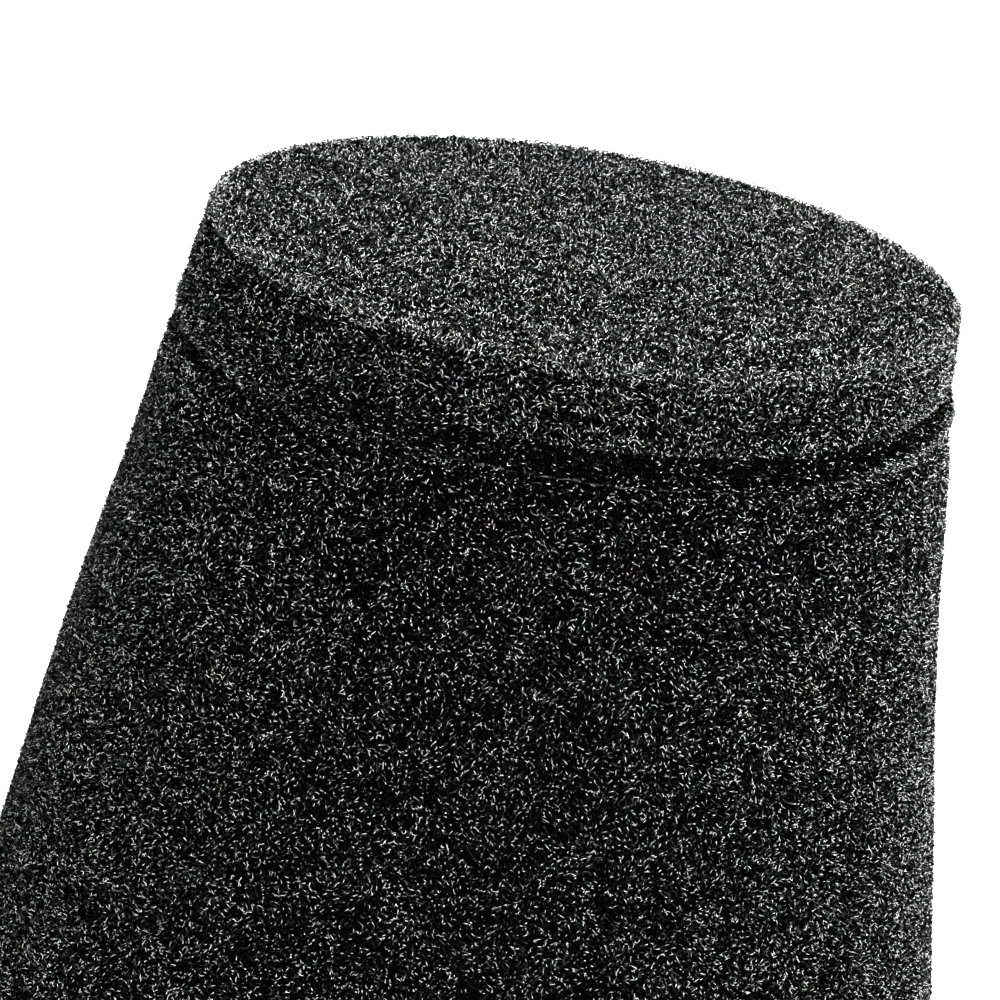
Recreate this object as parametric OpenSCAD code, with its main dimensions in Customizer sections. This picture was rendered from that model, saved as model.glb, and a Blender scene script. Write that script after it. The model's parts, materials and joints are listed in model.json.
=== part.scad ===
// Pond sponge filter: a conical foam cartridge over a slotted cage,
// on a weighted base with a swivelling side outlet.
// +Z is up, the origin is at the middle of the underside, and the outlet is at +X.

/* [Foam] */
// Diameter of the foam's flat top
foam_top_d = 130; // [120:1:140]
// Height of the foam cartridge
foam_h = 200; // [180:5:220]
// Thickness of the end disc
disc_t = 12; // [8:0.1:13]
// Height of the squeezed band between the end disc and the glue bead
band_h = 4.8; // [4:0.1:8]
// How far the seam stands out beyond the flat top's radius
seam_flare = 3.4; // [2:0.1:5]
// Height of the steeper stretch below the seam
neck_h = 32.5; // [20:0.5:50]
// Half-angle of the steeper stretch, in degrees
neck_angle = 9.2; // [8:0.1:10]
// Half-angle of the rest of the sleeve, in degrees
skirt_angle = 11.45; // [10:0.05:12]
// Wall thickness at the foot of the sleeve
foam_wall = 28; // [26:0.5:30]
// Radius of the sleeve's cavity at its closed end
cavity_top_r = 41; // [39:0.5:43]

/* [Cage] */
// Gap between the foam and the cage
cage_gap = 1.3; // [1:0.1:1.5]
// Wall thickness of the cage
cage_wall = 3; // [2.5:0.1:3.5]
// Slotted panels around the cage
panel_count = 10; // [8:2:12]
// Tiers of slots
slot_tiers = 5; // [4:1:6]
// Share of the circumference that is open in a tier
slot_share = 0.5; // [0.4:0.05:0.6]
// Height of the ring between two tiers
ring_h = 6; // [5:0.5:8]
// Degrees that the bayonet turns
twist_deg = 25; // [20:1:30]

/* [Base] */
// Radius of the base at the floor
base_r = 114; // [112:0.5:118]
// Height of the deck that the foam stands on
deck_z = 48; // [47:0.5:50]
// Height of the lip around the foam's foot
lip_h = 4; // [3:0.5:6]
// Wall thickness of the base
base_wall = 3; // [2.5:0.1:3.5]
// Screws in the bottom plate
plate_screws = 8; // [6:2:8]

/* [Outlet] */
// Height of the outlet's axis
outlet_z = 22; // [21.5:0.1:22.5]
// Radius of the water duct
duct_r = 9.8; // [9:0.1:10]
// Outer radius of the elbow's spigot
spigot_r = 12.5; // [12.4:0.05:12.6]
// Radial clearance of the turning fits
run_fit = 0.05; // [0.02:0.01:0.09]
// Radius of the hose tail, for a 25 mm hose
tail_r = 12.5; // [12.3:0.05:12.6]
// Radius of the elbow's bend
bend_r = 22; // [21:0.5:24]

/* [Hidden] */
$fn = 96;
eps = 0.01;

// Heights of the foam, from the deck up
foam_z = deck_z + 0.4;
top_z = foam_z + foam_h;
sleeve_top_z = top_z - disc_t;
bead_z = sleeve_top_z - band_h;
neck_z = bead_z - neck_h;

// Radii of the foam
top_r = foam_top_d / 2;
seam_r = top_r + seam_flare;
neck_r = seam_r + neck_h * tan(neck_angle);
foot_r = neck_r + (neck_z - foam_z) * tan(skirt_angle);
cavity_foot_r = foot_r - foam_wall;
cavity_slope = (cavity_foot_r - cavity_top_r) / (sleeve_top_z - foam_z);
bead_r = 0.9;
edge_r = 3;

// Radius of the cage's outer wall at a height
function cage_r(z) = cavity_foot_r - cage_gap - cavity_slope * (z - foam_z);
cage_z = deck_z + 0.3;
cage_flange_h = 3;
cage_top_z = sleeve_top_z - 5.1;
crown_t = 3;
panel_gap_deg = 0.4;
cap_t = 3.6;
cap_r = cage_r(cage_top_z + cap_t) - 0.4;
cap_screw_r = 32;
cap_screw_count = 4;
cap_screw_len = 11;

// Bayonet between the cage and the base
socket_r = 70;
socket_floor_z = 37.5;
socket_wall = 5;
bayonet_r = socket_r - run_fit;
bayonet_t = 3.7;
lug_count = 3;
lug_deg = 14;
lug_out = 2.5;
lug_h = 3.5;
lug_z = socket_floor_z + 1.5;
lug_play = 0.4;

// Base
mat_r = 96;
mat_t = 3.2;
plate_z = 2.2;
plate_t = 4;
plate_r = base_r - base_wall - 0.4;
gasket_t = 2;
ledge_z = plate_z + plate_t + gasket_t;
ledge_in_r = 98;
screw_ring_r = 104;
screw_r = 1.6;
skirt_top_r = base_r - 2.5;
lip_in_r = foot_r + 3;
draw_r = 18;
draw_wall = 2.5;
grommet_r = 20;
grommet_z = 35;
boss_r = 24;
boss_top_z = 42;
seat_gap = 0.1;
flange_out = 5;
duct_wall = 2.4;
pipe_r = duct_r + duct_wall;
pipe_start_x = 15;
entry_r = pipe_r + 2;
entry_end_x = 23;
sump_z = 8;
sump_r = entry_r + 0.5;
sump_bore_r = duct_r - 0.6;

// Outlet
duct_end_x = 114;
socket_start_x = plate_r + 0.2;
socket_end_x = 138;
side_socket_r = 16;
spigot_start_x = duct_end_x + 1;
bend_x = socket_end_x + 4;
tail_x = bend_x + bend_r;
collar_r = 15.5;
collar_z = outlet_z + bend_r + 3;
collar_h = 13;
washer_z = collar_z + collar_h;
washer_t = 2;
flange_z = washer_z + washer_t;
flange_t = 3;
flange_r = 14.6;
tail_end_z = flange_z + 43;
tail_bore_r = 9.5;
nut_lip_z = flange_z + flange_t + 0.3;
nut_top_z = nut_lip_z + 2.6;
tail_neck_r = tail_r - 0.4;
tail_land_z = nut_top_z + 0.5;
tail_land_h = 14;
rib_pitch = 6.5;
rib_depth = 1;
nut_z = collar_z + 2.5;
nut_r = 19;
nut_rib_r = 1.2;
nut_rib_count = 16;
o_ring_r = 0.95;
o_ring_xs = [118, 124];
clip_x = 131.3;
clip_t = 2.4;
clip_in = 11.6;
clip_out = 15;
clip_drop = 11;
clip_bridge_z = outlet_z + side_socket_r + 0.4;
clip_bridge_t = 3;

foam_color = [0.05, 0.05, 0.055];
plastic_color = [0.08, 0.085, 0.09];
rubber_color = [0.03, 0.03, 0.03];

// A ring with a rectangular section
module ring(r_in, r_out, z, h) {
    translate([0, 0, z])
        difference() {
            cylinder(r = r_out, h = h);
            translate([0, 0, -1])
                cylinder(r = r_in, h = h + 2);
        }
}

// A cylinder along +X at the height of the outlet
module x_cylinder(r, x, length) {
    translate([x, 0, outlet_z])
        rotate([0, 90, 0])
            cylinder(r = r, h = length);
}

// A sector of a ring, from angle a to angle b
module ring_sector(r_in, r_out, z, h, a, b) {
    rotate([0, 0, a])
        rotate_extrude(angle = b - a)
            translate([r_in, z])
                square([r_out - r_in, h]);
}

// A screw that points up: head below, with a hexagon socket in its underside
module screw_up(head_r, head_h, shank_r, shank_l) {
    difference() {
        union() {
            cylinder(r = head_r, h = head_h);
            cylinder(r = shank_r, h = head_h + shank_l);
        }
        translate([0, 0, -eps])
            cylinder(r = head_r * 0.5, h = head_h * 0.6, $fn = 6);
    }
}

module foam_end_disc() {
    arc = [for (a = [90:-15:0])
        [top_r + 0.5 - edge_r + edge_r * cos(a), top_z - edge_r + edge_r * sin(a)]];
    color(foam_color)
        rotate_extrude()
            polygon(concat(
                [[0, top_z]],
                arc,
                [[seam_r, sleeve_top_z + 0.8], [seam_r - 0.5, sleeve_top_z], [0, sleeve_top_z]]
            ));
}

module foam_sleeve() {
    groove_z = bead_z - 4;
    color(foam_color)
        difference() {
            rotate_extrude()
                polygon([
                    [cavity_top_r, sleeve_top_z],
                    [seam_r - 1.4, sleeve_top_z],
                    [seam_r - 1.1, sleeve_top_z - band_h / 2],
                    [seam_r, bead_z],
                    [seam_r - 0.6, groove_z],
                    [seam_r + 9 * tan(neck_angle), bead_z - 9],
                    [neck_r, neck_z],
                    [foot_r - 0.6, foam_z + 2.5],
                    [foot_r - 2, foam_z],
                    [cavity_foot_r, foam_z]
                ]);
            bead_ring();
        }
}

module bead_ring() {
    rotate_extrude()
        translate([seam_r - 0.2, bead_z])
            circle(r = bead_r, $fn = 24);
}

module adhesive_bead() {
    color([0.12, 0.12, 0.125])
        bead_ring();
}

// Slots of one tier, two to a panel, cut right across so that each pass makes two
module slot_tier(z, h) {
    width = slot_share * PI * cage_r(z + h / 2) / panel_count;
    for (i = [0:panel_count - 1])
        rotate([0, 0, (i + 0.5) * 180 / panel_count])
            translate([-100, -width / 2, z])
                cube([200, width, h]);
}

// Slotted panels that stand on the foot's flange and carry the crown
module cage_panels() {
    foot_z = cage_z + cage_flange_h;
    head_z = cage_top_z - crown_t;
    tier_h = (head_z - foot_z - ring_h) / slot_tiers - ring_h;
    color(plastic_color)
        difference() {
            for (i = [0:panel_count - 1])
                rotate([0, 0, i * 360 / panel_count + panel_gap_deg / 2])
                    rotate_extrude(angle = 360 / panel_count - panel_gap_deg)
                        polygon([
                            [cage_r(foot_z) - cage_wall, foot_z],
                            [cage_r(foot_z), foot_z],
                            [cage_r(head_z), head_z],
                            [cage_r(head_z) - cage_wall, head_z]
                        ]);
            for (i = [0:slot_tiers - 1])
                slot_tier(foot_z + ring_h + i * (tier_h + ring_h), tier_h);
        }
}

// The cage's flange with its bayonet ring and lugs
module cage_foot() {
    color(plastic_color)
        difference() {
            union() {
                ring(bayonet_r - bayonet_t, cage_r(cage_z), cage_z, cage_flange_h);
                ring(bayonet_r - bayonet_t, bayonet_r, socket_floor_z + 0.5, cage_z + 1 - socket_floor_z);
                for (i = [0:lug_count - 1])
                    ring_sector(bayonet_r - 1, bayonet_r + lug_out, lug_z, lug_h,
                        i * 360 / lug_count - lug_deg / 2, i * 360 / lug_count + lug_deg / 2);
            }
            ring(71.5, 73.5, cage_z - 1, 2.2);
        }
}

// The ring at the head of the panels, with the cap's screw bosses
module cage_crown() {
    color(plastic_color)
        difference() {
            union() {
                rotate_extrude()
                    polygon([
                        [27, cage_top_z - crown_t],
                        [cage_r(cage_top_z - crown_t), cage_top_z - crown_t],
                        [cage_r(cage_top_z), cage_top_z],
                        [27, cage_top_z]
                    ]);
                cap_screw_places()
                    translate([0, 0, cage_top_z - 9])
                        cylinder(r = 4.5, h = 8);
            }
            cap_screw_places()
                translate([0, 0, cage_top_z - 9 - eps])
                    cylinder(r = 1.5, h = 9 + 2 * eps);
        }
}

module cap_screw_places() {
    for (i = [0:cap_screw_count - 1])
        rotate([0, 0, 45 + i * 360 / cap_screw_count])
            translate([cap_screw_r, 0, 0])
                children();
}

module cage_cap() {
    color(plastic_color)
        difference() {
            union() {
                rotate_extrude()
                    polygon([
                        [0, cage_top_z], [cap_r, cage_top_z], [cap_r, cage_top_z + cap_t - 1],
                        [cap_r - 1, cage_top_z + cap_t], [0, cage_top_z + cap_t]
                    ]);
                translate([0, 0, cage_top_z - 4])
                    cylinder(r = 26.7, h = 4 + eps);
            }
            cap_screw_places()
                translate([0, 0, cage_top_z - 1])
                    cylinder(r = 1.7, h = cap_t + 2);
            cap_screw_places()
                translate([0, 0, cage_top_z + cap_t - 2])
                    cylinder(r = 3.2, h = 3);
        }
}

module cap_screws() {
    head_h = 1.8;
    color("silver")
        cap_screw_places()
            translate([0, 0, cage_top_z + cap_t - 2 + head_h])
                mirror([0, 0, 1])
                    screw_up(3, head_h, 1.5, cap_screw_len - head_h);
}

module cage_gasket() {
    color(rubber_color)
        ring(71.5, 73.5, cage_z - 0.2, 1.4);
}

module draw_tube() {
    tube_h = 123;
    color(plastic_color)
        ring(draw_r - draw_wall, draw_r, grommet_z, tube_h);
}

module tube_grommet() {
    color(rubber_color)
        union() {
            ring(draw_r, grommet_r, grommet_z, boss_top_z - grommet_z + eps);
            ring(draw_r, grommet_r + 2, boss_top_z, 2);
        }
}

// The turned shape of the tray: skirt, lip and deck
module tray_shell() {
    inner_r = base_r - base_wall;
    deck_in_r = socket_r + socket_wall + seat_gap;
    rotate_extrude()
        polygon([
            [deck_in_r, deck_z - base_wall],
            [skirt_top_r - base_wall - 3, deck_z - base_wall],
            [skirt_top_r - base_wall, deck_z - base_wall - 3],
            [inner_r, ledge_z],
            [inner_r, plate_z],
            [base_r - 0.6, plate_z],
            [base_r, plate_z + 0.8],
            [base_r - 0.4, ledge_z + 4],
            [base_r - 1.6, ledge_z + 5],
            [skirt_top_r - 0.4, deck_z - 1],
            [skirt_top_r - 1.2, deck_z + lip_h - 0.6],
            [skirt_top_r - 2, deck_z + lip_h],
            [lip_in_r + 0.8, deck_z + lip_h],
            [lip_in_r, deck_z + lip_h - 0.8],
            [lip_in_r, deck_z],
            [deck_in_r, deck_z]
        ]);
}

// Bayonet slots: a level groove with an upright way in at its far end
module bayonet_slots() {
    half = lug_deg / 2 + lug_play;
    r_out = socket_r + lug_out + 0.5;
    for (i = [0:lug_count - 1])
        rotate([0, 0, i * 360 / lug_count]) {
            ring_sector(socket_r - 1, r_out, lug_z - lug_play, lug_h + 2 * lug_play,
                -half, twist_deg);
            ring_sector(socket_r - 2, r_out + 0.3, lug_z - lug_play - 0.5, deck_z - lug_z + 2,
                twist_deg - half, twist_deg + half);
        }
}

// The cup in the deck that takes the cage's foot, with a flange that seats under the deck
module bayonet_socket() {
    out_r = socket_r + socket_wall;
    floor_z = socket_floor_z - base_wall;
    flange_z0 = deck_z - base_wall - 3;
    color(plastic_color)
        difference() {
            rotate_extrude()
                polygon([
                    [boss_r + seat_gap, floor_z],
                    [out_r - 2, floor_z],
                    [out_r, floor_z + 2],
                    [out_r, flange_z0],
                    [out_r + flange_out, flange_z0],
                    [out_r + flange_out, deck_z - base_wall],
                    [out_r, deck_z - base_wall],
                    [out_r, deck_z],
                    [socket_r + 0.6, deck_z],
                    [socket_r, deck_z - 0.6],
                    [socket_r, socket_floor_z],
                    [boss_r + seat_gap, socket_floor_z]
                ]);
            bayonet_slots();
        }
}

module base_tray() {
    color(plastic_color)
        difference() {
            union() {
                tray_shell();
                ring(ledge_in_r, base_r - base_wall + 0.5, ledge_z, 5.5);
                plate_screw_places()
                    translate([0, 0, ledge_z])
                        cylinder(r = 4.5, h = 13);
            }
            x_cylinder(pipe_r + seat_gap, ledge_in_r - 10, 30);
            x_cylinder(side_socket_r + seat_gap, socket_start_x - 0.5, 20);
            plate_screw_places()
                translate([0, 0, ledge_z - 1])
                    cylinder(r = screw_r, h = 12);
        }
}

// The upright fitting under the well: takes the draw tube's grommet and the duct pipe
module duct_entry() {
    flange_z0 = socket_floor_z - base_wall - 2.3;
    color(plastic_color)
        difference() {
            union() {
                translate([0, 0, sump_z])
                    cylinder(r = sump_r, h = grommet_z - sump_z);
                x_cylinder(entry_r, 0, entry_end_x);
                translate([0, 0, grommet_z - duct_wall])
                    cylinder(r = boss_r, h = boss_top_z - grommet_z + duct_wall);
                translate([0, 0, flange_z0])
                    cylinder(r = boss_r + flange_out, h = 2.3);
            }
            x_cylinder(duct_r, 0, entry_end_x + 1);
            x_cylinder(pipe_r, pipe_start_x, entry_end_x);
            translate([0, 0, outlet_z])
                cylinder(r = sump_bore_r, h = 20);
            translate([0, 0, grommet_z])
                cylinder(r = grommet_r, h = 30);
        }
}

module duct_pipe() {
    color(plastic_color)
        difference() {
            x_cylinder(pipe_r, pipe_start_x, duct_end_x - pipe_start_x);
            x_cylinder(duct_r, pipe_start_x - 1, duct_end_x - pipe_start_x + 2);
        }
}

module outlet_socket() {
    color(plastic_color)
        difference() {
            x_cylinder(side_socket_r, socket_start_x, socket_end_x - socket_start_x);
            x_cylinder(pipe_r, socket_start_x - 1, duct_end_x - socket_start_x + 1);
            x_cylinder(spigot_r + run_fit, duct_end_x - 1, socket_end_x);
            clip_slots();
        }
}

// The two upright slots that the U-clip's legs go down
module clip_slots() {
    play = 0.2;
    for (side = [-1, 1])
        translate([clip_x - play, side * (clip_in + clip_out) / 2, outlet_z - clip_drop - play])
            translate([0, -(clip_out - clip_in) / 2 - play, 0])
                cube([clip_t + 2 * play, clip_out - clip_in + 2 * play, 40]);
}

module plate_screw_places() {
    for (i = [0:plate_screws - 1])
        rotate([0, 0, (i + 0.5) * 360 / plate_screws])
            translate([screw_ring_r, 0, 0])
                children();
}

module bottom_plate() {
    head_seat = 2.4;
    color(plastic_color)
        difference() {
            translate([0, 0, plate_z])
                cylinder(r = plate_r, h = plate_t);
            translate([0, 0, plate_z - 1])
                cylinder(r = mat_r + 0.2, h = mat_t - plate_z + 1);
            plate_screw_places()
                translate([0, 0, plate_z - 1])
                    cylinder(r = screw_r, h = plate_t + 2);
            plate_screw_places()
                translate([0, 0, plate_z - 1])
                    cylinder(r = 3.8, h = head_seat + 1);
        }
}

module bottom_gasket() {
    color(rubber_color)
        difference() {
            ring(ledge_in_r, plate_r - 0.3, plate_z + plate_t, gasket_t);
            plate_screw_places()
                cylinder(r = screw_r, h = 20);
        }
}

module bottom_screws() {
    head_h = 2.2;
    head_seat = 2.4;
    color("silver")
        plate_screw_places()
            translate([0, 0, plate_z + head_seat - head_h])
                screw_up(3.5, head_h, screw_r, 13);
}

module ballast_weights() {
    weight_h = 16;
    from_duct = 24;
    color([0.35, 0.35, 0.36])
        for (side = [0, 180])
            ring_sector(36, 95, plate_z + plate_t, weight_h, side + from_duct, side + 180 - from_duct);
}

module base_mat() {
    groove_w = 3;
    color(rubber_color)
        difference() {
            rotate_extrude()
                polygon([[0, 0], [mat_r - 1, 0], [mat_r, 1], [mat_r, mat_t], [0, mat_t]]);
            for (r = [30:12:90])
                ring(r, r + groove_w, -1, 1.8);
        }
}

module outlet_elbow() {
    spigot_l = bend_x - spigot_start_x;
    arm_h = washer_z - outlet_z - bend_r;
    color(plastic_color)
        difference() {
            union() {
                x_cylinder(spigot_r, spigot_start_x, spigot_l);
                x_cylinder(side_socket_r - 0.5, socket_end_x + 0.3, 2.5);
                elbow_bend(spigot_r);
                translate([tail_x, 0, outlet_z + bend_r])
                    cylinder(r = spigot_r, h = arm_h);
                translate([tail_x, 0, collar_z])
                    cylinder(r = collar_r, h = collar_h);
            }
            x_cylinder(duct_r, spigot_start_x - 1, spigot_l + 1);
            elbow_bend(duct_r);
            translate([tail_x, 0, outlet_z + bend_r])
                cylinder(r = duct_r, h = arm_h + 1);
            for (x = o_ring_xs)
                spigot_groove(x - 1.2, 2.4, spigot_r - 2 * o_ring_r);
            spigot_groove(clip_x - 0.3, clip_t + 0.6, clip_in - 0.2);
        }
}

module elbow_bend(r) {
    translate([bend_x, 0, outlet_z + bend_r])
        rotate([90, 0, 0])
            rotate([0, 0, -90])
                rotate_extrude(angle = 90)
                    translate([bend_r, 0])
                        circle(r = r);
}

module spigot_groove(x, width, floor_r) {
    difference() {
        x_cylinder(spigot_r + 1, x, width);
        x_cylinder(floor_r, x - 1, width + 2);
    }
}

module elbow_o_rings() {
    color(rubber_color)
        for (x = o_ring_xs)
            translate([x, 0, outlet_z])
                rotate([0, 90, 0])
                    rotate_extrude()
                        translate([spigot_r - o_ring_r, 0])
                            circle(r = o_ring_r, $fn = 24);
}

module elbow_clip() {
    leg_top = clip_bridge_z + clip_bridge_t;
    leg_foot = outlet_z - clip_drop;
    color([0.62, 0.62, 0.6])
        translate([clip_x, 0, 0]) {
            for (side = [-1, 1])
                translate([0, side * (clip_in + clip_out) / 2 - (clip_out - clip_in) / 2, leg_foot])
                    cube([clip_t, clip_out - clip_in, leg_top - leg_foot]);
            translate([0, -clip_in - 1, clip_bridge_z])
                cube([clip_t, 2 * clip_in + 2, clip_bridge_t]);
            translate([-3, -6, clip_bridge_z])
                cube([clip_t + 6, 12, clip_bridge_t]);
        }
}

module tail_washer() {
    color(rubber_color)
        translate([tail_x, 0, 0])
            ring(duct_r, flange_r - 0.2, washer_z, washer_t);
}

module hose_tail() {
    ribs_z = tail_land_z + tail_land_h;
    rib_count = floor((tail_end_z - ribs_z) / rib_pitch);
    rib_points = [for (i = [0:rib_count - 1], p = [0, 1])
        p == 0
            ? [tail_r - rib_depth, ribs_z + i * rib_pitch]
            : [tail_r, ribs_z + i * rib_pitch + 0.8]];
    tip_z = ribs_z + rib_count * rib_pitch;
    color(plastic_color)
        translate([tail_x, 0, 0])
            rotate_extrude()
                polygon(concat(
                    [
                        [tail_bore_r, flange_z],
                        [flange_r, flange_z],
                        [flange_r, flange_z + flange_t],
                        [tail_neck_r, flange_z + flange_t],
                        [tail_neck_r, tail_land_z],
                        [tail_r, tail_land_z],
                        [tail_r, ribs_z]
                    ],
                    rib_points,
                    [[tail_r - 1.2, tip_z], [tail_r - 1.6, tail_end_z], [tail_bore_r, tail_end_z]]
                ));
}

module union_nut() {
    color(plastic_color)
        translate([tail_x, 0, 0])
            difference() {
                union() {
                    rotate_extrude()
                        polygon([
                            [0, nut_z], [nut_r - 0.8, nut_z], [nut_r, nut_z + 0.8],
                            [nut_r, nut_top_z - 2.5], [nut_r - 2, nut_top_z], [0, nut_top_z]
                        ]);
                    for (i = [0:nut_rib_count - 1])
                        rotate([0, 0, i * 360 / nut_rib_count])
                            translate([nut_r - 0.2, 0, nut_z + 1])
                                cylinder(r = nut_rib_r, h = nut_top_z - nut_z - 4, $fn = 24);
                }
                translate([0, 0, nut_z - 1])
                    cylinder(r = collar_r + run_fit, h = nut_lip_z - nut_z + 1);
                translate([0, 0, nut_z - 1])
                    cylinder(r = tail_r + 0.2, h = 40);
            }
}

foam_sleeve();
foam_end_disc();
adhesive_bead();
cage_foot();
cage_panels();
cage_crown();
cage_cap();
cap_screws();
cage_gasket();
draw_tube();
tube_grommet();
bayonet_socket();
base_tray();
duct_entry();
duct_pipe();
outlet_socket();
bottom_plate();
bottom_gasket();
ballast_weights();
bottom_screws();
base_mat();
outlet_elbow();
elbow_o_rings();
elbow_clip();
tail_washer();
hose_tail();
union_nut();
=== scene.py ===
"""Looks of the pond sponge filter: open-cell foam built strut by strut, moulded plastic, rubber and steel.

Foam sizes are in millimetres, in the CAD model's own frame: +Z up, origin under the middle of the base.
Materials, lights and the camera are in metres.
"""

import json
import math

import bpy
import numpy as np
from mathutils import Matrix, Vector


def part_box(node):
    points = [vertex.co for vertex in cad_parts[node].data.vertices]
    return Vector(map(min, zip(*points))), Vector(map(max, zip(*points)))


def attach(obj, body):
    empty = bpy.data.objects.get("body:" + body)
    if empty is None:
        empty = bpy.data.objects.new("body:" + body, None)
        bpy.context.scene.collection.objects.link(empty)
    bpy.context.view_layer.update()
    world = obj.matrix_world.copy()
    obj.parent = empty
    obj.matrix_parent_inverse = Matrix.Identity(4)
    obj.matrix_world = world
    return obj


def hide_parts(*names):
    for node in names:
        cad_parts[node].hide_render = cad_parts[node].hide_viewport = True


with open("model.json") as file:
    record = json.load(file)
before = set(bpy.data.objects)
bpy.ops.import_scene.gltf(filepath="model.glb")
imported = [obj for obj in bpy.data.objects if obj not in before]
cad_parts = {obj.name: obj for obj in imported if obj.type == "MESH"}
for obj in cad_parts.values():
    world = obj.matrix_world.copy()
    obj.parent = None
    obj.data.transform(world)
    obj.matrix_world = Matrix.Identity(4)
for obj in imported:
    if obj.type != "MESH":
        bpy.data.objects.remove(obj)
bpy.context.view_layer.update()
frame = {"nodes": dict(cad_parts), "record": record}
MM = 0.001
rng = np.random.default_rng(11)

# ---------------------------------------------------------------- sizes, from the frame
sleeve_low, sleeve_high = (np.array(corner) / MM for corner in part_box("foam_sleeve"))
disc_low, disc_high = (np.array(corner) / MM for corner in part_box("foam_end_disc"))
bead_low, bead_high = (np.array(corner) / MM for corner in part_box("adhesive_bead"))
TOP_Z = disc_high[2]
JOIN_Z = disc_low[2]  # the end disc's underside
BEAD_Z = (bead_low[2] + bead_high[2]) / 2
FOOT_Z = sleeve_low[2]
SEAM_R = disc_high[0]
FOOT_R = sleeve_high[0]
TOP_R = SEAM_R - 3.1  # the end disc narrows towards its upper edge
RIM_Z = TOP_Z + 1.2  # the cut face of the cells stands a little above the CAD solid

# ---------------------------------------------------------------- camera
# The view is set by the top's centre and radius, so that its ellipse has the photograph's shape and tilt.
ELEVATION = math.radians(16.31)
ROLL = math.radians(-9.20)
PAN = math.radians(-0.72)
TILT = math.radians(-6.05)
FLAT_TOP_R = 65
TOP_RADII_AWAY = 6.708
DISTANCE = TOP_RADII_AWAY * FLAT_TOP_R * MM
LENS, SENSOR = 90, 36


def add_camera():
    """Looks at the flat top from in front and a little above, then turned by the pan, tilt and roll."""
    right = np.array([1, 0, 0])
    up = np.array([0, math.sin(ELEVATION), math.cos(ELEVATION)])
    ahead = np.array([0, math.cos(ELEVATION), -math.sin(ELEVATION)])
    cp, sp = math.cos(PAN), math.sin(PAN)
    ct, st = math.cos(TILT), math.sin(TILT)
    cr, sr = math.cos(ROLL), math.sin(ROLL)
    side_part = np.array([cp, 0, -sp])
    up_part = np.array([-st * sp, ct, -st * cp])
    axes = [cr * side_part - sr * up_part, sr * side_part + cr * up_part]
    local_x, local_y = (a[0] * right + a[1] * up + a[2] * ahead for a in axes)
    local_z = np.cross(local_x, local_y)
    place = np.array([0, 0, TOP_Z * MM]) - DISTANCE * ahead
    data = bpy.data.cameras.new("camera")
    data.lens = LENS
    data.sensor_width = SENSOR
    data.clip_start = 0.01
    camera = bpy.data.objects.new("camera", data)
    bpy.context.scene.collection.objects.link(camera)
    turned = Matrix([[local_x[i], local_y[i], local_z[i], place[i]] for i in range(3)] + [[0, 0, 0, 1]])
    camera.matrix_world = turned
    bpy.context.scene.camera = camera


# ---------------------------------------------------------------- material helpers
def new_material(name, colour, roughness, specular=0.5, metallic=0.0):
    """A Principled material with plain values, its shader and its node tree."""
    mat = bpy.data.materials.new(name)
    mat.use_nodes = True
    shader = mat.node_tree.nodes["Principled BSDF"]
    shader.inputs["Base Color"].default_value = (*colour, 1)
    shader.inputs["Roughness"].default_value = roughness
    shader.inputs["Specular IOR Level"].default_value = specular
    shader.inputs["Metallic"].default_value = metallic
    return mat, shader, mat.node_tree


def coordinates(tree):
    return tree.nodes.new("ShaderNodeTexCoord").outputs["Object"]


def noise(tree, where, scale, detail=4.0, roughness=0.55):
    node = tree.nodes.new("ShaderNodeTexNoise")
    node.inputs["Scale"].default_value = scale
    node.inputs["Detail"].default_value = detail
    node.inputs["Roughness"].default_value = roughness
    tree.links.new(where, node.inputs["Vector"])
    return node.outputs["Fac"]


def spread(tree, value, low, high, to_low, to_high):
    """Maps value from low..high to to_low..to_high, clamped."""
    node = tree.nodes.new("ShaderNodeMapRange")
    for name, number in (("From Min", low), ("From Max", high), ("To Min", to_low), ("To Max", to_high)):
        node.inputs[name].default_value = number
    tree.links.new(value, node.inputs["Value"])
    return node.outputs["Result"]


def two_colours(tree, share, colour_a, colour_b):
    node = tree.nodes.new("ShaderNodeMix")
    node.data_type = "RGBA"
    node.inputs["A"].default_value = (*colour_a, 1)
    node.inputs["B"].default_value = (*colour_b, 1)
    tree.links.new(share, node.inputs["Factor"])
    return node.outputs["Result"]


def bump(tree, shader, height, distance, strength=1.0):
    node = tree.nodes.new("ShaderNodeBump")
    node.inputs["Distance"].default_value = distance
    node.inputs["Strength"].default_value = strength
    tree.links.new(height, node.inputs["Height"])
    tree.links.new(node.outputs["Normal"], shader.inputs["Normal"])


def moulded_plastic(name, dark, light, roughness, grain):
    """Injection-moulded plastic: spark-eroded grain, cloudy tone and patchy sheen."""
    mat, shader, tree = new_material(name, dark, roughness)
    where = coordinates(tree)
    clouds = noise(tree, where, 38, 5)
    tree.links.new(two_colours(tree, spread(tree, clouds, 0.35, 0.7, 0, 1), dark, light),
                   shader.inputs["Base Color"])
    wear = noise(tree, where, 160, 3)
    sheen = spread(tree, wear, 0.3, 0.7, roughness - 0.08, roughness + 0.12)
    tree.links.new(sheen, shader.inputs["Roughness"])
    bump(tree, shader, noise(tree, where, grain, 2), 0.00012, 0.6)
    return mat


def soft_rubber(name, dark, light, roughness):
    """Moulded rubber with a pale bloom in places."""
    mat, shader, tree = new_material(name, dark, roughness, 0.35)
    where = coordinates(tree)
    bloom = noise(tree, where, 55, 6, 0.65)
    tree.links.new(two_colours(tree, spread(tree, bloom, 0.45, 0.8, 0, 1), dark, light),
                   shader.inputs["Base Color"])
    sheen = spread(tree, bloom, 0.3, 0.8, roughness - 0.1, roughness + 0.15)
    tree.links.new(sheen, shader.inputs["Roughness"])
    bump(tree, shader, noise(tree, where, 1400, 2), 0.00006, 0.5)
    return mat


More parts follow.
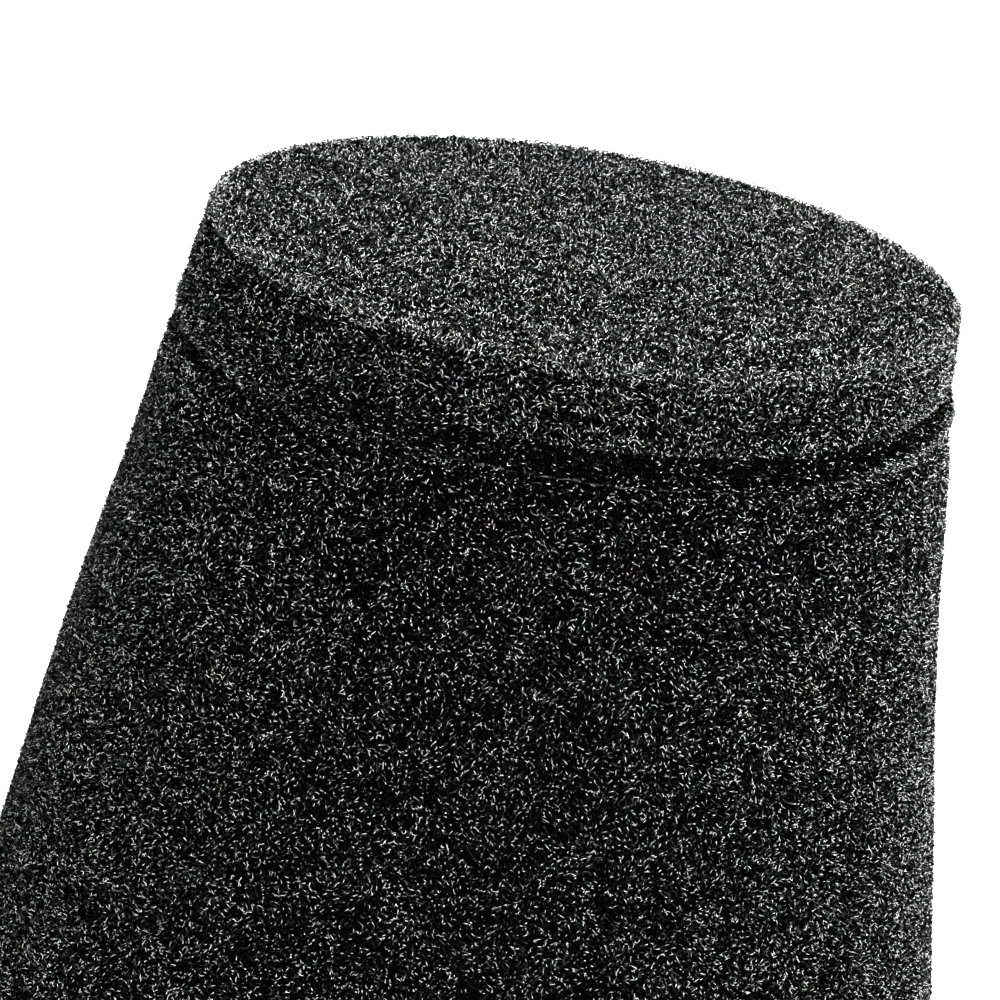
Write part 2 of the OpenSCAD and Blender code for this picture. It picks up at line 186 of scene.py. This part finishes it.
def stainless(name):
    """Turned stainless steel: fine brushing and a little smear."""
    mat, shader, tree = new_material(name, (0.58, 0.57, 0.55), 0.3, 0.5, 1.0)
    where = coordinates(tree)
    mapping = tree.nodes.new("ShaderNodeMapping")
    mapping.inputs["Scale"].default_value = (1, 1, 14)
    tree.links.new(where, mapping.inputs["Vector"])
    brush = noise(tree, mapping.outputs["Vector"], 420, 3)
    steel = two_colours(tree, spread(tree, brush, 0.3, 0.7, 0, 1), (0.5, 0.49, 0.47), (0.66, 0.65, 0.63))
    tree.links.new(steel, shader.inputs["Base Color"])
    tree.links.new(spread(tree, brush, 0.3, 0.7, 0.22, 0.42), shader.inputs["Roughness"])
    return mat


def cast_iron(name):
    """Sand-cast iron with a rough, faintly rusted skin."""
    mat, shader, tree = new_material(name, (0.08, 0.078, 0.075), 0.75)
    where = coordinates(tree)
    rust = noise(tree, where, 60, 6, 0.7)
    skin = two_colours(tree, spread(tree, rust, 0.5, 0.75, 0, 1), (0.07, 0.07, 0.07), (0.16, 0.07, 0.035))
    tree.links.new(skin, shader.inputs["Base Color"])
    bump(tree, shader, noise(tree, where, 500, 4), 0.0004, 0.8)
    return mat


def strut_material(name, grey, dull, shiny):
    """Foam struts: polymer whose shine varies from strut to strut. The greyer ones are painted glints: a pale
    base colour standing in for highlights.
    """
    mat, shader, tree = new_material(name, (grey, grey, grey * 1.01), 0.3, 0.5)
    shine = noise(tree, coordinates(tree), 1300, 2)
    tree.links.new(spread(tree, shine, 0.38, 0.62, dull, shiny), shader.inputs["Specular IOR Level"])
    return mat


DEEP_CELL = 1.1  # spacing of the cells in the deep foam's pattern


def deep_foam_material():
    """What shows between the outer struts: the next cells down, nearly black, with their own dim struts."""
    mat, shader, tree = new_material("foam_depth", (0.0003, 0.0003, 0.0003), 0.9, 0.0)
    where = coordinates(tree)
    cells = tree.nodes.new("ShaderNodeTexVoronoi")
    cells.feature = "DISTANCE_TO_EDGE"
    cells.inputs["Scale"].default_value = 1 / (DEEP_CELL * MM)
    tree.links.new(where, cells.inputs["Vector"])
    strut = spread(tree, cells.outputs["Distance"], 0.0, 0.16, 1, 0)
    tree.links.new(two_colours(tree, strut, (0.0002, 0.0002, 0.0002), (0.0012, 0.0012, 0.0012)),
                   shader.inputs["Base Color"])
    return mat


# ---------------------------------------------------------------- foam outline
# Outline of the foam from foot to top: height and radius of each turn.
TAN_NECK = math.tan(math.radians(9.2))
NECK_H = 32.5
OUTLINE = np.array([
    (FOOT_Z, FOOT_R - 1.2),
    (FOOT_Z + 2.5, FOOT_R),
    (BEAD_Z - 82, SEAM_R + NECK_H * TAN_NECK + 10.7),
    (BEAD_Z - NECK_H, SEAM_R + NECK_H * TAN_NECK + 0.4),
    (BEAD_Z - 9, SEAM_R + 9 * TAN_NECK + 0.1),
    (BEAD_Z - 5.2, SEAM_R + 0.4),
    (BEAD_Z - 3.2, SEAM_R - 0.6),
    (BEAD_Z - 1.4, SEAM_R - 0.1),
    (BEAD_Z, SEAM_R + 0.2),
    (BEAD_Z + 1.3, SEAM_R - 0.4),
    (BEAD_Z + 3.0, SEAM_R - 0.9),
    (JOIN_Z - 0.4, SEAM_R - 1.4),
    (JOIN_Z + 0.1, SEAM_R - 1.4),
    (JOIN_Z + 1.0, SEAM_R - 1.2),
    (RIM_Z - 3, TOP_R + 0.4),
    (RIM_Z + 2, TOP_R),
])
EDGE_R = 1.4  # rounding of the end disc's upper edge
LEAN = 2.0  # how far the sleeve's axis wanders towards +X on its way up
LEAN_AT_FOOT = -0.5
LEAN_LOW, LEAN_SPAN = BEAD_Z - 70, 76  # where it starts to wander, and over how much height
DISC_SLANT = 0.06  # the end disc's own slant towards +X


def lean(z):
    """How far the foam's axis has moved towards +X at a height."""
    share = np.clip((z - LEAN_LOW) / LEAN_SPAN, 0, 1)
    return LEAN * share * share * (3 - 2 * share) + LEAN_AT_FOOT + DISC_SLANT * np.maximum(z - JOIN_Z, 0)


def waves(count, shortest, longest, size, seed):
    """Directions, wave numbers, phases and sizes of random sine waves in 3-D."""
    own = np.random.default_rng(seed)
    heading = own.normal(size=(count, 3))
    heading /= np.linalg.norm(heading, axis=1)[:, None]
    number = 2 * np.pi / own.uniform(shortest, longest, count)
    push = np.cross(heading, own.normal(size=(count, 3)))  # sideways, so that no part is packed or thinned
    push *= size / np.linalg.norm(push, axis=1)[:, None]
    return heading * number[:, None], own.uniform(0, 2 * np.pi, count), push


def warp(points, field):
    """Each point pushed by the sum of the waves, which breaks up the regular cells."""
    numbers, phases, pushes = field
    moved = points.copy()
    for number, phase, push in zip(numbers, phases, pushes):
        moved += np.sin(points @ number + phase)[:, None] * push
    return moved


def ring_noise(angle, seed, periods, size):
    """Smooth random ripple round a ring: one sine for each of the periods, in cycles per turn."""
    own = np.random.default_rng(seed)
    total = np.zeros_like(angle)
    for period in periods:
        total += np.sin(period * angle + own.uniform(0, 2 * np.pi)) * own.uniform(0.5, 1)
    return total * size / math.sqrt(len(periods))


def seam_sway(angle):
    """How far the glued seam wanders up and down."""
    return ring_noise(angle, 3, (3, 5, 9, 17), 0.45)


PUCKER_REACH = 3.0  # the puckers die out this far above and below the seam
PINCH = 0.8  # the groove under the end disc is this much deeper at +X than at -X


def outer_radius(z, angle):
    """Radius of the foam's skin at a height and an angle, with the puckers along the glued seam."""
    sway = seam_sway(angle)
    radius = np.interp(z - sway, OUTLINE[:, 0], OUTLINE[:, 1])
    near = np.exp(-((z - sway - BEAD_Z) / PUCKER_REACH) ** 2)
    radius += near * ring_noise(angle + (z - BEAD_Z) * 0.014, 4, (31, 47, 61, 83, 101), 0.42)
    radius -= PINCH * np.exp(-((z - JOIN_Z) / 1.2) ** 2) * (0.5 + 0.5 * np.cos(angle))
    radius += ring_noise(angle, 5, (2, 3, 5), 0.25)
    return radius


def depth_in_foam(points):
    """How far below the foam's skin each point is: negative outside, with the top edge rounded."""
    x, y, z = points.T
    x = x - lean(z)
    from_side = (outer_radius(z, np.arctan2(y, x)) - np.hypot(x, y)) * 0.98
    top = RIM_Z - 0.1 + 0.1 * np.sin(x * 0.09 + 1) * np.sin(y * 0.11 + 2)
    from_top = top - z
    a, b = np.maximum(EDGE_R - from_side, 0), np.maximum(EDGE_R - from_top, 0)
    rounded = EDGE_R - np.hypot(a, b)
    below = np.where((a > 0) & (b > 0), rounded, np.minimum(from_side, from_top))
    return np.minimum(below, z - FOOT_Z)


# ---------------------------------------------------------------- foam cells
CELL = 0.98  # spacing of the cells
STEP = CELL / 4
NET_DEPTH = 0.38
RIM_DEPTH = 0.9  # the net is this deep along the rim, where the sky shows through it
WANDER = 0.17  # how far each joint of the struts strays
KEPT = 0.88  # share of the struts that the knife leaves in place
RIM_IN, RIM_DOWN = 3.5, 2.5  # how far the rim's deeper net reaches inwards and downwards
LAYER_BLUR = 0.16  # how far the net's two limits stray from strut to strut
RAGGED, MOST_RAGGED = 0.22, 0.9  # how far cut ends stand out of the skin: usually, and at most
SHORTEST = 0.12  # struts cut shorter than this are left out
SQUEEZE = 0.5  # height of a cell in the squeezed band, as a share of its height elsewhere


# The squeezed band is as high in the lattice as it would be if it were let go.
BAND_LOW, BAND_HIGH = BEAD_Z - 2.5, JOIN_Z + 0.5
BAND_FREE = (BAND_HIGH - BAND_LOW) / SQUEEZE
LATTICE_Z = [FOOT_Z - 20, BAND_LOW, BAND_LOW + BAND_FREE, BAND_LOW + BAND_FREE + 30]
REAL_Z = [FOOT_Z - 20, BAND_LOW, BAND_HIGH, BAND_HIGH + 30]
MARGIN = 2.8  # joints are made this near the outline, before the warp and the lean, which are mostly smaller


def lattice_joints():
    """The corners of packed 14-sided cells, as whole numbers of STEP: one odd coordinate, and two even
    ones of which one is a multiple of 4. They are made slab by slab, only near the skin."""
    reach = math.ceil((FOOT_R + MARGIN) / CELL) * 4
    foot, head = math.floor((FOOT_Z - MARGIN) / CELL) * 4, math.ceil(LATTICE_Z[3] / CELL) * 4
    slab = 40  # ten cells
    for odd in range(3):
        others = [axis for axis in range(3) if axis != odd]
        for odd_value in (1, 3):
            for even_values in ((0, 2), (2, 0)):
                offset = np.zeros(3, int)
                offset[odd] = odd_value
                offset[others] = even_values
                across = [np.arange(offset[axis] - reach, reach, 4) for axis in (0, 1)]
                columns = np.stack(np.meshgrid(*across, indexing="ij"), -1).reshape(-1, 2)
                radius = np.hypot(*columns.T) * STEP
                for start in range(foot, head, slab):
                    z = np.arange(start + offset[2], start + slab, 4)
                    real_z = np.interp(z * STEP, LATTICE_Z, REAL_Z)
                    skin = np.interp(real_z, OUTLINE[:, 0], OUTLINE[:, 1])
                    inside = 0 if real_z[-1] > RIM_Z - MARGIN else skin.min() - MARGIN
                    near = columns[(radius >= inside) & (radius < skin.max() + MARGIN)]
                    yield np.column_stack([np.repeat(near, len(z), 0), np.tile(z, len(near))])


def foam_joints():
    """Joints of the foam's struts near its skin: whole-number places, real places and depths."""
    field = waves(12, 7, 24, 0.4, 21)
    kept = []
    for whole in lattice_joints():
        rough = whole * STEP
        rough[:, 2] = np.interp(rough[:, 2], LATTICE_Z, REAL_Z)
        radius = np.hypot(rough[:, 0], rough[:, 1])
        skin = np.interp(rough[:, 2], OUTLINE[:, 0], OUTLINE[:, 1])
        near_side = np.abs(radius - skin) < MARGIN
        near_top = (rough[:, 2] > RIM_Z - MARGIN) & (radius < skin + MARGIN)
        kept.append(whole[(near_side | near_top) & (rough[:, 2] < RIM_Z + MARGIN)])
    whole = np.concatenate(kept)
    whole = whole[np.lexsort(whole.T)]
    free = whole * STEP + rng.normal(size=whole.shape) * WANDER
    free = warp(free, field)
    free[:, 2] = np.interp(free[:, 2], LATTICE_Z, REAL_Z)
    return whole, free, depth_in_foam(free)


def code_of(whole):
    """One number for each joint, in the order of np.lexsort."""
    shifted = whole.astype(np.int64) + 4096
    return (shifted[:, 2] * 8192 + shifted[:, 1]) * 8192 + shifted[:, 0]


def foam_struts():
    """Pairs of joints. A joint's odd coordinate goes to the even value that its partner coordinate had, and
    the partner turns odd, which gives each joint its four struts."""
    whole, places, depths = foam_joints()
    codes = code_of(whole)
    odd = (whole % 2 == 1).argmax(1)
    rows = np.arange(len(whole))
    starts, ends = [], []
    for turn in (1, 2):
        partner = (odd + turn) % 3
        partner_value = whole[rows, partner]
        odd_value = whole[rows, odd]
        up = (odd_value + 1 - partner_value) % 4 == 0
        for side in (-1, 1):
            other = whole.copy()
            other[rows, odd] = np.where(up, odd_value + 1, odd_value - 1)
            other[rows, partner] = partner_value + side
            other_codes = code_of(other)
            found = np.minimum(np.searchsorted(codes, other_codes), len(codes) - 1)
            good = (codes[found] == other_codes) & (found > rows)
            starts.append(rows[good])
            ends.append(found[good])
    start, end = np.concatenate(starts), np.concatenate(ends)
    return places, depths, start, end


# Share of the struts that get the pale, glint-painted grades, region by region: these shares paint the light
# and shade
ON_TOP = 0.1
ON_DISC_SIDE = 0.17
ON_SLEEVE = 0.105
# fewer painted glints here: painted shade in the squeezed band and in the crease under the seam
IN_BAND = 0.035
IN_CREASE = 0.07
FACE_DEPTH = 1.2  # what lies this near the rim's height counts as the top face
CREASE_TOP, CREASE_FOOT = -1.2, -4.5  # heights of the crease's edges above the seam
RIM_GAIN = 0.7  # the rim's extra painted glints, a painted highlight, as a share of what lies round it
# painted glints all along the seam's ridge
ON_SEAM = 0.02
# Painted highlights on the seam's puckers: angle, half width and share
PAINTED_PUCKER_HIGHLIGHTS = ((-0.35, 0.4, 0.3), (-2.75, 0.3, 0.1))


def painted_glint_share(points, in_disc):
    """The share of the struts painted pale as glints, which paints light and shade: fewer (painted shade) in
    the squeezed band, in the crease under the glued seam and on the end disc's -X side; more (painted
    highlights) on the band's -X side, along the seam's puckered ridge and at the rim."""
    x, y, z = points.T
    x = x - lean(z)
    angle = np.arctan2(y, x)
    from_seam = z - seam_sway(angle) - BEAD_Z
    # painted light by side: fewer painted glints on the end disc's -X side, more on the squeezed band's -X
    # side
    facing_left = np.clip(-np.cos(angle), 0, 1)
    on_disc = np.where(z > RIM_Z - FACE_DEPTH, ON_TOP, ON_DISC_SIDE - 0.08 * facing_left)
    share = np.where(in_disc, on_disc, ON_SLEEVE)
    # a painted highlight along the rim: more painted glints there
    rim = np.exp(-((np.hypot(x, y) - TOP_R + 0.6) / 1.8) ** 2) * (z > RIM_Z - 1.8)
    share = share * (1 + RIM_GAIN * rim)
    # painted shade: fewer painted glints in the squeezed band and in the crease under the seam
    share = np.where((from_seam > CREASE_TOP) & ~in_disc, IN_BAND + 0.05 * facing_left, share)
    share = np.where((from_seam < CREASE_TOP) & (from_seam > CREASE_FOOT), IN_CREASE, share)
    # painted highlights along the seam's puckered ridge, patchy round the seam
    puckers = np.full_like(angle, ON_SEAM)
    for middle, half_width, gain in PAINTED_PUCKER_HIGHLIGHTS:
        puckers += gain * np.exp(-((angle - middle) / half_width) ** 2)
    patchy = np.clip(ring_noise(angle + z * 0.02, 12, (3, 11, 29, 53, 77), 0.5) + 0.45, 0, 1)
    return share + puckers * patchy * np.exp(-(from_seam / 1.1) ** 2)


def cut_struts():
    """Both ends of each strut that shows, cut off where the knife went through the foam."""
    places, depths, start, end = foam_struts()
    swap = depths[start] < depths[end]
    start, end = np.where(swap, end, start), np.where(swap, start, end)
    deep, shallow = depths[start], depths[end]
    ragged = -np.minimum(rng.exponential(RAGGED, len(start)), MOST_RAGGED)
    x, y, z = places[start].T
    at_rim = (np.hypot(x - lean(z), y) > TOP_R - RIM_IN) & (z > RIM_Z - RIM_DOWN)
    net_depth = np.where(at_rim, RIM_DEPTH, NET_DEPTH)
    # blurred, so that no whole layer of joints starts or stops at one height
    blur = rng.normal(0, LAYER_BLUR, len(start))
    inside = (deep + blur > 0.02) & (deep > -0.25) & (shallow + blur < net_depth)
    keep = inside & (rng.random(len(start)) < KEPT)
    p0, p1 = places[start[keep]], places[end[keep]]
    deep, shallow, ragged = deep[keep], shallow[keep], ragged[keep]
    share = np.where(shallow < ragged, np.clip((deep - ragged) / np.maximum(deep - shallow, 1e-6), 0, 1), 1)
    p1 = p0 + (p1 - p0) * share[:, None]
    # a strut goes with the end disc or with the sleeve, whichever its deeper end is in
    in_disc = p0[:, 2] > JOIN_Z
    other_side = (p1[:, 2] > JOIN_Z) != in_disc
    reach = np.where(other_side, (JOIN_Z - p0[:, 2]) / np.where(other_side, p1[:, 2] - p0[:, 2], 1), 1)
    p1 = p0 + (p1 - p0) * reach[:, None]
    long_enough = np.linalg.norm(p1 - p0, axis=1) > SHORTEST
    return p0[long_enough], p1[long_enough], in_disc[long_enough]


def strut_mesh(name, p0, p1, width):
    """Closed four-faced bars, one for each strut: an edge across each end, at right angles to each other."""
    count = len(p0)
    along = p1 - p0
    along /= np.linalg.norm(along, axis=1)[:, None]
    helper = np.where(np.abs(along[:, 2:3]) < 0.8, np.array([[0, 0, 1.0]]), np.array([[1.0, 0, 0]]))
    side = np.cross(along, helper)
    side /= np.linalg.norm(side, axis=1)[:, None]
    upward = np.cross(along, side)
    roll = rng.uniform(0, 2 * np.pi, count)[:, None]
    half = (width / 2 * rng.uniform(0.75, 1.3, count))[:, None]
    first = (np.cos(roll) * side + np.sin(roll) * upward) * half
    second = (np.cos(roll) * upward - np.sin(roll) * side) * half
    over = along * 0.05  # the bars overlap a little at their joints
    vertices = np.stack([p0 - over + first, p0 - over - first, p1 + over + second, p1 + over - second], 1)
    vertices = vertices.reshape(-1, 3) * MM
    loops = np.array([0, 1, 2, 0, 3, 1, 1, 3, 2, 0, 2, 3])
    mesh = bpy.data.meshes.new(name)
    mesh.vertices.add(len(vertices))
    mesh.vertices.foreach_set("co", vertices.astype(np.float32).ravel())
    indices = (loops[None, :] + np.arange(count)[:, None] * 4).ravel()
    mesh.loops.add(len(indices))
    mesh.loops.foreach_set("vertex_index", indices.astype(np.int32))
    mesh.polygons.add(count * 4)
    mesh.polygons.foreach_set("loop_start", (np.arange(count * 4) * 3).astype(np.int32))
    mesh.polygons.foreach_set("use_smooth", np.ones(count * 4, bool))
    mesh.update(calc_edges=True)
    return mesh


def grid_mesh(name, rings, closed_ends=False):
    """A closed skin through rings of points, each an (n, 3) array; the last ring joins the first."""
    n = len(rings[0])
    vertices = np.concatenate(rings) * MM
    count = len(rings)
    faces = []
    for i in range(count - (1 if closed_ends else 0)):
        a, b = i * n, ((i + 1) % count) * n
        faces += [(a + j, a + (j + 1) % n, b + (j + 1) % n, b + j) for j in range(n)]
    mesh = bpy.data.meshes.new(name)
    if closed_ends:
        faces += [tuple(range(n))[::-1], tuple((count - 1) * n + j for j in range(n))]
    mesh.from_pydata(vertices.tolist(), [], faces)
    mesh.polygons.foreach_set("use_smooth", np.ones(len(mesh.polygons), bool))
    mesh.update()
    return mesh


def add_piece(name, mesh, material, body="foam", parent=None):
    piece = bpy.data.objects.new(name, mesh)
    bpy.context.scene.collection.objects.link(piece)
    mesh.materials.append(material)
    if parent is not None:
        piece.parent = parent
    else:
        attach(piece, body)
    return piece


AROUND = 360
CAVITY_TOP_R, FOOT_WALL = 41, 27.4  # the hollow round the cage: its top, and the sleeve's wall at the foot
MOST_STRUTS = 49000  # in one piece, which keeps its triangles under the export's limit
turns = np.linspace(0, 2 * np.pi, AROUND, endpoint=False)


def ring_points(z, radius):
    return np.stack([radius * np.cos(turns) + lean(z), radius * np.sin(turns), np.full(AROUND, z)], 1)


def add_foam():
    """The foam's dark backings, one for the sleeve and one for the end disc, and the struts over them."""
    # each grade of strut: its look and its width. The greyer grades are painted light: glints are painted
    # highlights, lit and bars are dimmer painted light, cells are the foam's own black
    grades = {
        "glints": (strut_material("foam_struts_painted_glints", 0.8, 0.5, 1.0), 0.13),
        "lit": (strut_material("foam_struts_painted_lit", 0.11, 0.3, 0.9), 0.14),
        "bars": (strut_material("foam_struts", 0.006, 0.1, 0.5), 0.18),
        "cells": (strut_material("foam_struts_dull", 0.0005, 0.0, 0.05), 0.28),
    }
    depth = deep_foam_material()
    backing = NET_DEPTH + 0.15  # how far the backings lie below the skin

    heights = np.concatenate([
        np.linspace(FOOT_Z + 0.4, BEAD_Z - 12, 56),
        np.linspace(BEAD_Z - 11, JOIN_Z - 0.35, 40),
    ])
    skin = [ring_points(z, outer_radius(np.full(AROUND, z), turns) - backing) for z in heights]
    cavity_foot = FOOT_R - FOOT_WALL
    cavity_slope = (CAVITY_TOP_R - cavity_foot) / (JOIN_Z - FOOT_Z)
    inner = [ring_points(z, cavity_foot + cavity_slope * (z - FOOT_Z))
             for z in np.linspace(JOIN_Z - 0.35, FOOT_Z + 0.4, 30)]
    sleeve = add_piece("foam_sleeve_body", grid_mesh("foam_sleeve_body", skin + inner), depth)
    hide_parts("foam_sleeve")

    disc_rings = []
    corner = EDGE_R + 0.9  # the backing keeps well back from the rim, so that the net there is open
    for z in np.linspace(JOIN_Z - 0.1, RIM_Z - backing - corner, 12):
        disc_rings.append(ring_points(z, outer_radius(np.full(AROUND, z), turns) - backing))
    edge_base = outer_radius(np.full(AROUND, RIM_Z - corner), turns) - backing
    for tilt in np.radians(np.linspace(15, 90, 6)):
        disc_rings.append(ring_points(RIM_Z - backing - corner * (1 - math.sin(tilt)),
                                      edge_base - corner * (1 - math.cos(tilt))))
    disc = add_piece("foam_disc_body", grid_mesh("foam_disc_body", disc_rings, True), depth)
    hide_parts("foam_end_disc")

    p0, p1, in_disc = cut_struts()
    # the share painted as glints where each strut lies, which picks its grade
    glint_paint_odds = painted_glint_share((p0 + p1) / 2, in_disc)
    draw = rng.random(len(p0))
    grade = np.digitize(draw / glint_paint_odds, (0.85, 1.35, 2.6))
    # a quarter of the dull struts is enough to fill the dark between the others
    shown = (grade < 3) | (rng.random(len(p0)) < 0.25)
    for label, belongs, parent in (("disc", in_disc, disc), ("sleeve", ~in_disc, sleeve)):
        for number, (kind, (look, width)) in enumerate(grades.items()):
            chosen = belongs & shown & (grade == number)
            a, b = p0[chosen], p1[chosen]
            order = np.argsort(np.arctan2(a[:, 1], a[:, 0]))
            for index, share in enumerate(np.array_split(order, math.ceil(len(order) / MOST_STRUTS))):
                name = f"foam_{label}_{kind}_{index + 1:02d}"
                mesh = strut_mesh(name, a[share], b[share], width)
                add_piece(name, mesh, look, parent=parent)
    print("struts", int(shown.sum()))


# ---------------------------------------------------------------- glue bead
def add_bead():
    """The crimped line of glue: a thin lumpy cord that follows the seam's sway and puckers."""
    mat, shader, tree = new_material("cured_glue", (0.02, 0.02, 0.021), 0.35, 0.4)
    where = coordinates(tree)
    lumps = noise(tree, where, 500, 3)
    glue = two_colours(tree, spread(tree, lumps, 0.35, 0.7, 0, 1), (0.006, 0.006, 0.0065), (0.04, 0.04, 0.04))
    tree.links.new(glue, shader.inputs["Base Color"])
    tree.links.new(spread(tree, lumps, 0.3, 0.7, 0.22, 0.45), shader.inputs["Roughness"])
    steps = 1440
    angle = np.linspace(0, 2 * np.pi, steps, endpoint=False)
    z = BEAD_Z + seam_sway(angle) + ring_noise(angle, 8, (41, 67, 95, 133), 0.12)
    radius = outer_radius(z, angle) - 0.55
    thick = np.maximum(0.1 + ring_noise(angle, 9, (7, 23, 57, 119, 171), 0.2), 0.04)
    rings = []
    sides = 8
    for turn in np.arange(sides) * 2 * math.pi / sides:
        out, up = np.cos(turn) * thick, np.sin(turn) * thick * 0.8
        x, y = (radius + out) * np.cos(angle) + lean(z), (radius + out) * np.sin(angle)
        rings.append(np.stack([x, y, z + up], 1))
    bead = add_piece("adhesive_line", grid_mesh("adhesive_line", rings), mat)
    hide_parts("adhesive_bead")


# ---------------------------------------------------------------- the rest of the object
def dress_cad_nodes():
    black = moulded_plastic("cage_plastic", (0.014, 0.0145, 0.016), (0.024, 0.025, 0.027), 0.42, 1800)
    base = moulded_plastic("base_plastic", (0.012, 0.0125, 0.0135), (0.022, 0.0225, 0.024), 0.52, 1200)
    fitting = moulded_plastic("fitting_plastic", (0.01, 0.0105, 0.0115), (0.018, 0.018, 0.02), 0.33, 2400)
    seal = soft_rubber("seal_rubber", (0.007, 0.007, 0.007), (0.016, 0.016, 0.016), 0.5)
    mat = soft_rubber("mat_rubber", (0.01, 0.01, 0.01), (0.03, 0.03, 0.029), 0.7)
    looks = {
        "cage_plastic": black, "base_plastic": base, "fitting_plastic": fitting, "seal_rubber": seal,
        "mat_rubber": mat, "stainless": stainless("stainless"), "ballast_iron": cast_iron("ballast_iron"),
    }
    for entry in frame["record"]["subparts"]:
        look = looks.get(entry["material_slot"])
        if look is None:
            continue
        for slot in frame["nodes"][entry["node"]].material_slots:
            slot.material = look


# ---------------------------------------------------------------- floor and light
def add_floor():
    mesh = bpy.data.meshes.new("floor")
    half = 6.0
    corners = [(-half, -half, 0), (half, -half, 0), (half, half, 0), (-half, half, 0)]
    mesh.from_pydata(corners, [], [(0, 1, 2, 3)])
    floor = bpy.data.objects.new("floor", mesh)
    bpy.context.scene.collection.objects.link(floor)
    mat, shader, tree = new_material("floor", (0.8, 0.8, 0.8), 0.6, 0.0)
    shader.inputs["Emission Color"].default_value = (1, 1, 1, 1)
    shader.inputs["Emission Strength"].default_value = 0.95
    floor.visible_diffuse = floor.visible_glossy = False
    mesh.materials.append(mat)


def add_light(name, place, aim, size, power, size_y=None):
    data = bpy.data.lights.new(name, "AREA")
    data.shape = "RECTANGLE"
    data.size = size
    data.size_y = size_y or size
    data.energy = power
    light = bpy.data.objects.new(name, data)
    bpy.context.scene.collection.objects.link(light)
    light.location = place
    light.rotation_euler = (Vector(aim) - Vector(place)).to_track_quat("-Z", "Y").to_euler()
    return light


AMBIENT = 0.01  # of the white surroundings' light; the camera sees them white


def add_lights():
    world = bpy.data.worlds.new("studio")
    bpy.context.scene.world = world
    world.use_nodes = True
    background = world.node_tree.nodes["Background"]
    background.inputs["Color"].default_value = (1, 1, 1, 1)
    rays = world.node_tree.nodes.new("ShaderNodeLightPath")
    world.node_tree.links.new(spread(world.node_tree, rays.outputs["Is Camera Ray"], 0, 1, AMBIENT, 1.0),
                              background.inputs["Strength"])
    top = (0, 0, TOP_Z * MM)
    add_light("overhead", (0.15, 0.25, 0.95), top, 0.3, 6)
    add_light("front_top", (0.25, -0.82, 0.8), (0, 0, 0.2), 0.25, 32)
    add_light("rim_right", (0.9, 0.1, 0.45), (0, 0, 0.15), 0.3, 4, 0.7)
    add_light("back", (-0.25, 1.1, 0.26), (0, 0, 0.1), 0.9, 24, 0.25)
    add_light("rim_left", (-0.9, 0.5, 0.4), (0, 0, 0.15), 0.3, 0.6, 0.7)


add_camera()
add_foam()
add_bead()
dress_cad_nodes()
add_floor()
add_lights()
bpy.context.scene.view_settings.view_transform = "Standard"
